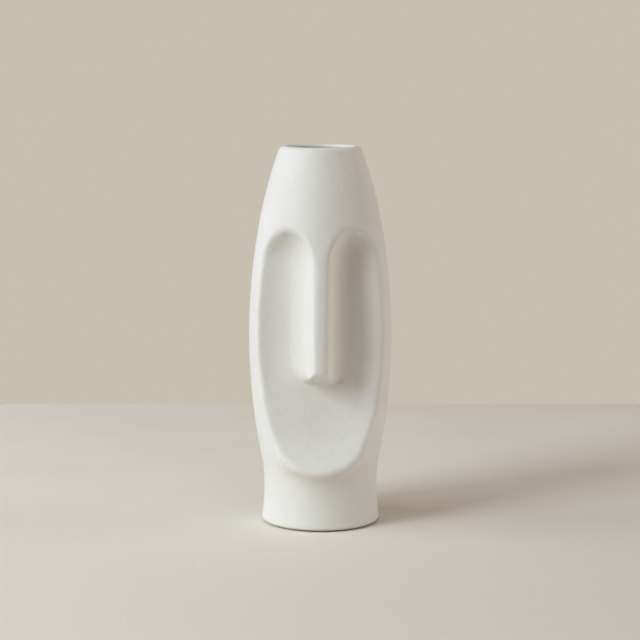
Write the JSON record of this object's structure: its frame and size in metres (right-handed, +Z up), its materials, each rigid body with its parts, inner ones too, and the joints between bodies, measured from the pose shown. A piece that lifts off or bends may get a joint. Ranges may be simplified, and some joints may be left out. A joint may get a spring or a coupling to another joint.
{
  "type": "face vase",
  "caption": "Tall ceramic vase shaped as an abstract face with a long straight nose under two brow arches, open at the top to hold stems, standing on small rubber pads.",
  "frame": {"origin": "on the table under the middle of the foot, at the bottom centre of the overall box", "axes": "+Z up along the vase's axis, the face looks along -Y, +X to the right of someone looking at the face"},
  "size_m": [0.1134, 0.1134, 0.3],
  "materials": {
    "ceramic": "matte white, fine even grain",
    "pad_rubber": "matte dark grey"
  },
  "bodies": {
    "root": {"vessel_body": "ceramic", "bumper_pad_front_left": "pad_rubber", "bumper_pad_front_right": "pad_rubber", "bumper_pad_rear_left": "pad_rubber", "bumper_pad_rear_right": "pad_rubber"}
  },
  "joints": []
}
